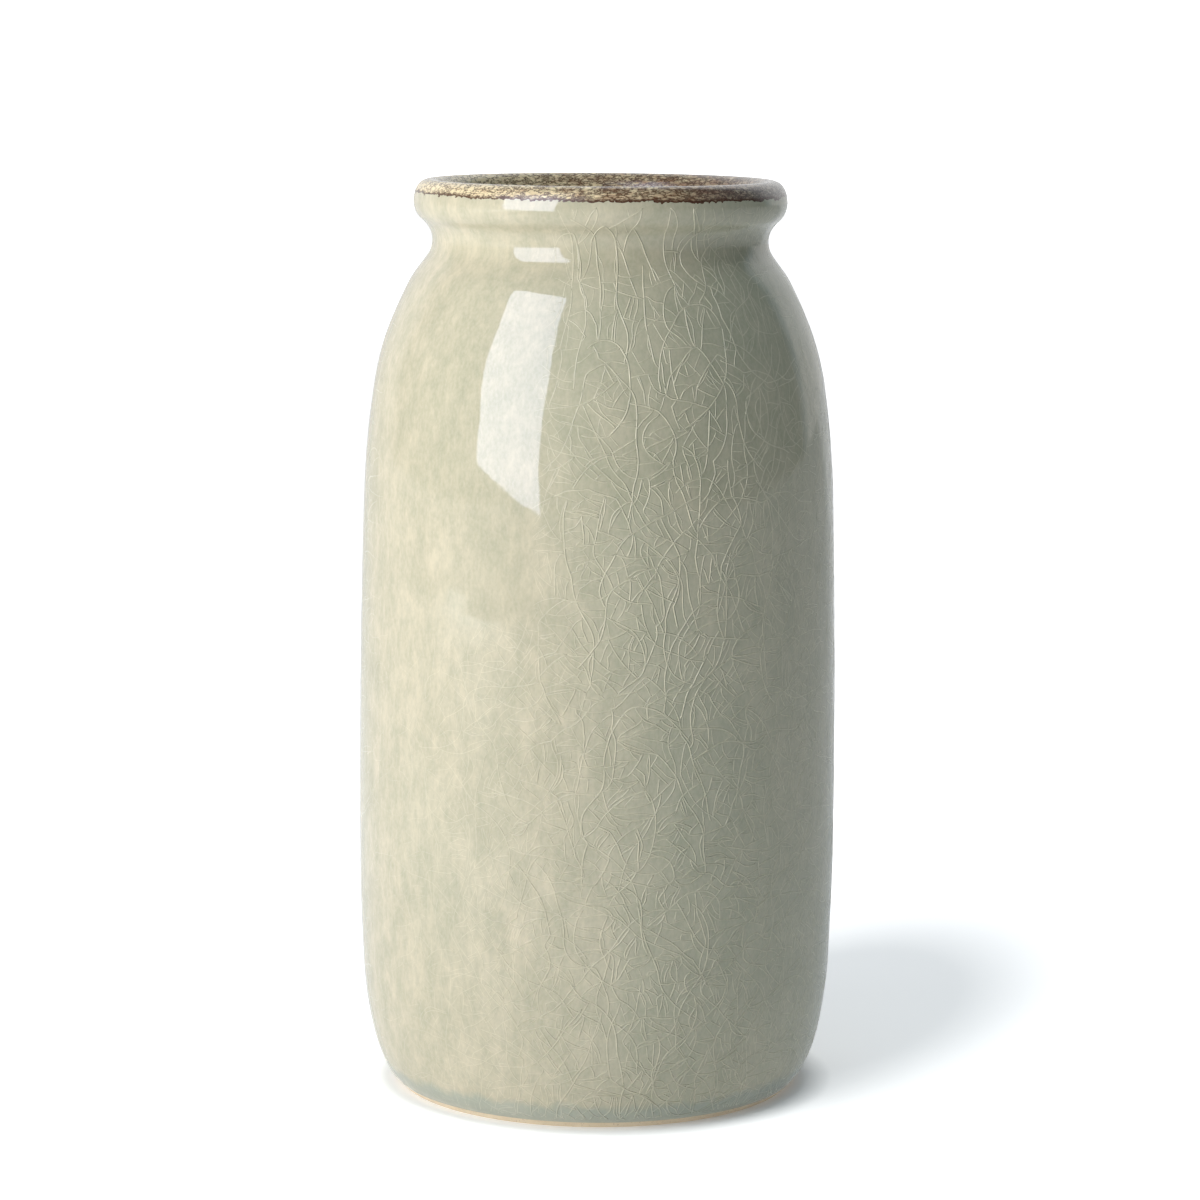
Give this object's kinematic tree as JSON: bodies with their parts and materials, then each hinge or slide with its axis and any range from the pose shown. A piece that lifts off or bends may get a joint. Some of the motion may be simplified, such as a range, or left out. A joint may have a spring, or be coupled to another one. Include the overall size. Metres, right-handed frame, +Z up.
{
  "type": "jar-shaped ceramic vase",
  "caption": "Tall, nearly straight-sided stoneware vase with a rounded shoulder, short waisted neck and wide rolled lip, in crackle glaze, with an iron-brown rim and a bare clay foot ring.",
  "frame": {"origin": "centre of the foot ring's underside, on the surface that the vase stands on", "axes": "+Z up along the axis of the vase; the vase is round, so X and Y are equal, and the picture looks along +Y"},
  "size_m": [0.1584, 0.1584, 0.3],
  "materials": {
    "bare_stoneware": "unglazed fired clay, matt and fine-grained",
    "crackle_glaze": "glossy grey-green glaze over a net of fine craze lines",
    "iron_wash": "satin iron-brown wash broken into tan patches",
    "liner_glaze": "glossy plain grey-green glaze"
  },
  "bodies": {
    "root": {"clay_body": "bare_stoneware", "outer_glaze": "crackle_glaze", "rim_wash": "iron_wash", "liner_glaze": "liner_glaze"}
  },
  "joints": []
}
